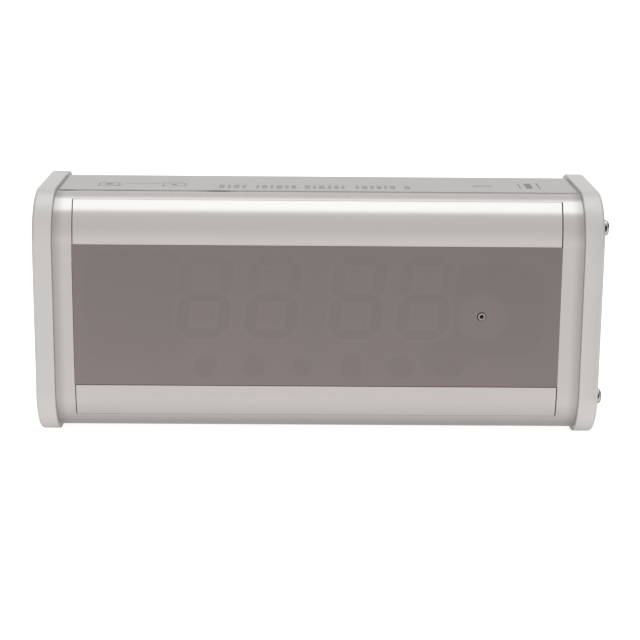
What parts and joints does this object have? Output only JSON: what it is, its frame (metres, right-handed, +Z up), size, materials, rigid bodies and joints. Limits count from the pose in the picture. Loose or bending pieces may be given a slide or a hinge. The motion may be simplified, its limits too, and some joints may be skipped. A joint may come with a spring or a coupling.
{
  "type": "alarm speaker",
  "caption": "Desktop alarm speaker with a digit display behind a smoked film, in a rounded silver extrusion between two pale grey end plates.",
  "frame": {"origin": "middle of the whole box, at the underside of the two end plates", "axes": "+X along the case to the viewer's right, +Y from the display towards the rear, +Z up"},
  "size_m": [0.2528, 0.0886, 0.1111],
  "materials": {
    "anodised_aluminium": "satin silver anodised, fine lines along the extrusion",
    "plate_plastic": "moulded pale grey ABS with a fine spark texture",
    "label_film": "glossy printed polyester label",
    "smoked_film": "smoked grey polyester film with a satin face",
    "black_plastic": "moulded black ABS",
    "white_plastic": "moulded white ABS",
    "circuit_board": "green solder resist over glass-fibre board",
    "black_rubber": "soft black rubber and foam",
    "grey_silicone": "moulded light grey silicone rubber",
    "black_steel": "black painted pressed steel",
    "plated_magnet": "zinc-plated steel pot",
    "cone_paper": "pressed paper pulp with a rubber surround",
    "nickel_steel": "nickel-plated steel",
    "cable_jacket": "grey PVC flat cable"
  },
  "bodies": {
    "case": {"housing_extrusion": "anodised_aluminium", "upper_strip": "anodised_aluminium", "lower_strip": "anodised_aluminium", "end_plate_left": "plate_plastic", "end_plate_right": "plate_plastic", "top_label": "label_film", "front_film": "smoked_film", "front_carrier": "black_plastic", "display_board": "circuit_board", "microphone": "nickel_steel", "microphone_boot": "grey_silicone", "speaker_gasket": "black_rubber", "speaker_frame": "black_steel", "speaker_magnet": "plated_magnet", "main_board": "circuit_board", "radio_module": "nickel_steel", "flat_cable": "cable_jacket", "speaker_lead": "black_rubber", "power_inlet": "black_plastic", "power_inlet_nut": "nickel_steel", "right_plate_screw_1": "nickel_steel", "left_plate_screw_1": "nickel_steel", "board_screw_1": "nickel_steel", "speaker_screw_1": "nickel_steel", "speaker_nut_1": "nickel_steel", "led_digit_1": "white_plastic", "right_plate_screw_2": "nickel_steel", "left_plate_screw_2": "nickel_steel", "board_screw_2": "nickel_steel", "speaker_screw_2": "nickel_steel", "speaker_nut_2": "nickel_steel", "led_digit_2": "white_plastic", "right_plate_screw_3": "nickel_steel", "left_plate_screw_3": "nickel_steel", "board_screw_3": "nickel_steel", "speaker_screw_3": "nickel_steel", "speaker_nut_3": "nickel_steel", "led_digit_3": "white_plastic", "right_plate_screw_4": "nickel_steel", "left_plate_screw_4": "nickel_steel", "board_screw_4": "nickel_steel", "speaker_screw_4": "nickel_steel", "speaker_nut_4": "nickel_steel", "led_digit_4": "white_plastic", "key_switch_1": "black_plastic", "key_switch_2": "black_plastic", "key_switch_3": "black_plastic", "key_switch_4": "black_plastic", "key_switch_5": "black_plastic", "key_switch_6": "black_plastic"},
    "key_1": {"key_1": "white_plastic"},
    "key_2": {"key_2": "white_plastic"},
    "key_3": {"key_3": "white_plastic"},
    "key_4": {"key_4": "white_plastic"},
    "key_5": {"key_5": "white_plastic"},
    "key_6": {"key_6": "white_plastic"},
    "speaker_cone": {"speaker_cone": "cone_paper"}
  },
  "joints": [
    {"name": "key_1_press", "type": "slide", "parent": "case", "child": "key_1", "axis": [0, 1, 0], "range_m": [0, 0.00035], "stiffness_N_per_m": 3000},
    {"name": "key_2_press", "type": "slide", "parent": "case", "child": "key_2", "axis": [0, 1, 0], "range_m": [0, 0.00035], "stiffness_N_per_m": 3000},
    {"name": "key_3_press", "type": "slide", "parent": "case", "child": "key_3", "axis": [0, 1, 0], "range_m": [0, 0.00035], "stiffness_N_per_m": 3000},
    {"name": "key_4_press", "type": "slide", "parent": "case", "child": "key_4", "axis": [0, 1, 0], "range_m": [0, 0.00035], "stiffness_N_per_m": 3000},
    {"name": "key_5_press", "type": "slide", "parent": "case", "child": "key_5", "axis": [0, 1, 0], "range_m": [0, 0.00035], "stiffness_N_per_m": 3000},
    {"name": "key_6_press", "type": "slide", "parent": "case", "child": "key_6", "axis": [0, 1, 0], "range_m": [0, 0.00035], "stiffness_N_per_m": 3000},
    {"name": "cone_stroke", "type": "slide", "parent": "case", "child": "speaker_cone", "axis": [0, 1, 0], "range_m": [-0.001, 0.001], "stiffness_N_per_m": 1500}
  ]
}
